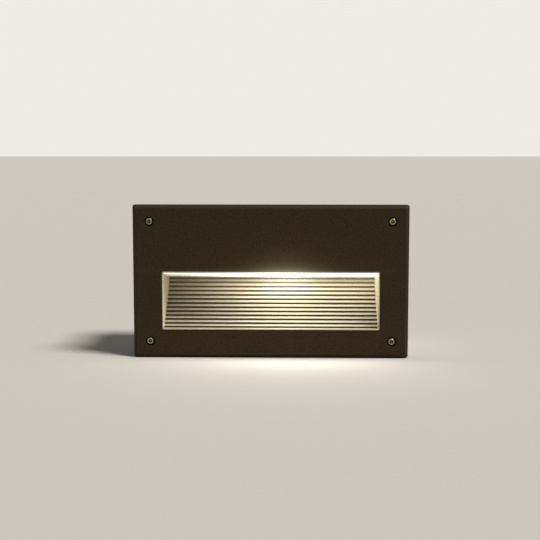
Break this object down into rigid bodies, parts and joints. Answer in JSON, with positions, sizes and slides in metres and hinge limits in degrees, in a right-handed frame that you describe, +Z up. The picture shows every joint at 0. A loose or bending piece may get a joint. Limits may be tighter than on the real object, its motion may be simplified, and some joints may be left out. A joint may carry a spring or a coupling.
{
  "type": "step light",
  "caption": "Recessed step light: bronze bevelled faceplate with a low wide window, stepped silver scoop under a tilted lens, and a cast box holding lamp and control gear.",
  "frame": {"origin": "centre of the faceplate's rear rim, on the finished wall's surface", "axes": "+X to the right seen from in front, +Y into the wall, +Z up; the faceplate's front lies at Y = -9 mm"},
  "size_m": [0.251, 0.0974, 0.14],
  "materials": {
    "bronze_paint": "fine textured dark bronze powder coat",
    "scoop_silver": "silver paint over sand-textured casting",
    "cast_box": "as cast, blasted",
    "stainless": "turned stainless",
    "zinc_screws": "bright zinc plating",
    "black_rubber": "matt",
    "silicone": "translucent white silicone",
    "frosted_glass": "frosted on one side",
    "lamp_glass": "phosphor coated",
    "lamp_plastic": "moulded white",
    "brass_contacts": "plain",
    "plug_zinc": "zinc plated pipe plugs",
    "galvanised": "galvanised sheet",
    "bright_sheet": "specular sheet",
    "clear_moulding": "moulded",
    "core_steel": "varnished laminations",
    "bobbin_plastic": "moulded",
    "winding": "varnished wire under tape",
    "terminal_steel": "yellow passivated",
    "ground_green": "green head",
    "lead_black": "insulation",
    "lead_white": "insulation",
    "lead_green": "insulation"
  },
  "bodies": {
    "housing": {"back_box": "cast_box", "ballast_bobbin": "bobbin_plastic", "ballast_brackets": "galvanised", "ballast_core": "core_steel", "ballast_lead": "lead_black", "ballast_screws": "zinc_screws", "ballast_winding": "winding", "bracket_screws": "zinc_screws", "conduit_plugs": "plug_zinc", "gear_tray": "galvanised", "gear_tray_screws": "zinc_screws", "ground_lead": "lead_green", "ground_lug": "brass_contacts", "ground_screw": "ground_green", "lamp_clip": "clear_moulding", "lamp_lead": "lead_black", "lampholder": "lamp_plastic", "lampholder_bracket": "galvanised", "lampholder_contacts": "brass_contacts", "lampholder_screws": "zinc_screws", "neutral_lead": "lead_white", "reflector": "bright_sheet", "reflector_screws": "zinc_screws", "terminal_block": "lamp_plastic", "terminal_block_screws": "zinc_screws", "terminal_clamps": "brass_contacts", "terminal_screws": "terminal_steel"},
    "front": {"faceplate": "bronze_paint", "faceplate_gasket": "black_rubber", "scoop": "scoop_silver", "scoop_screws": "zinc_screws", "lens": "frosted_glass", "lens_gasket": "silicone", "lens_clips": "stainless", "lens_clip_screws": "zinc_screws", "screw_retainers": "stainless"},
    "lamp": {"lamp_tubes": "lamp_glass", "lamp_base": "lamp_plastic", "lamp_pins": "brass_contacts"},
    "washer_upper_left": {"face_washer_upper_left": "black_rubber"},
    "screw_upper_left": {"face_screw_upper_left": "stainless"},
    "washer_upper_right": {"face_washer_upper_right": "black_rubber"},
    "screw_upper_right": {"face_screw_upper_right": "stainless"},
    "washer_lower_left": {"face_washer_lower_left": "black_rubber"},
    "screw_lower_left": {"face_screw_lower_left": "stainless"},
    "washer_lower_right": {"face_washer_lower_right": "black_rubber"},
    "screw_lower_right": {"face_screw_lower_right": "stainless"}
  },
  "joints": [
    {"name": "front_release", "type": "slide", "parent": "housing", "child": "front", "axis": [0, -1, 0], "range_m": [0, 0.12]},
    {"name": "lamp_pull", "type": "slide", "parent": "housing", "child": "lamp", "axis": [1, 0, 0], "range_m": [0, 0.024]},
    {"name": "screw_travel_upper_left", "type": "slide", "parent": "front", "child": "washer_upper_left", "axis": [0, -1, 0], "range_m": [0, 0.009]},
    {"name": "screw_turn_upper_left", "type": "hinge", "parent": "washer_upper_left", "child": "screw_upper_left", "pos_m": [-0.1103, 0, 0.05485], "axis": [0, -1, 0], "range_deg": [0, 4628.7]},
    {"name": "screw_travel_upper_right", "type": "slide", "parent": "front", "child": "washer_upper_right", "axis": [0, -1, 0], "range_m": [0, 0.009]},
    {"name": "screw_turn_upper_right", "type": "hinge", "parent": "washer_upper_right", "child": "screw_upper_right", "pos_m": [0.1103, 0, 0.05485], "axis": [0, -1, 0], "range_deg": [0, 4628.7]},
    {"name": "screw_travel_lower_left", "type": "slide", "parent": "front", "child": "washer_lower_left", "axis": [0, -1, 0], "range_m": [0, 0.009]},
    {"name": "screw_turn_lower_left", "type": "hinge", "parent": "washer_lower_left", "child": "screw_lower_left", "pos_m": [-0.1103, 0, -0.05485], "axis": [0, -1, 0], "range_deg": [0, 4628.7]},
    {"name": "screw_travel_lower_right", "type": "slide", "parent": "front", "child": "washer_lower_right", "axis": [0, -1, 0], "range_m": [0, 0.009]},
    {"name": "screw_turn_lower_right", "type": "hinge", "parent": "washer_lower_right", "child": "screw_lower_right", "pos_m": [0.1103, 0, -0.05485], "axis": [0, -1, 0], "range_deg": [0, 4628.7]}
  ],
  "couplings": [
    {"joint": "screw_turn_upper_left", "follows": "screw_travel_upper_left", "rad_per_m": 8976},
    {"joint": "screw_turn_upper_right", "follows": "screw_travel_upper_right", "rad_per_m": 8976},
    {"joint": "screw_turn_lower_left", "follows": "screw_travel_lower_left", "rad_per_m": 8976},
    {"joint": "screw_turn_lower_right", "follows": "screw_travel_lower_right", "rad_per_m": 8976}
  ]
}
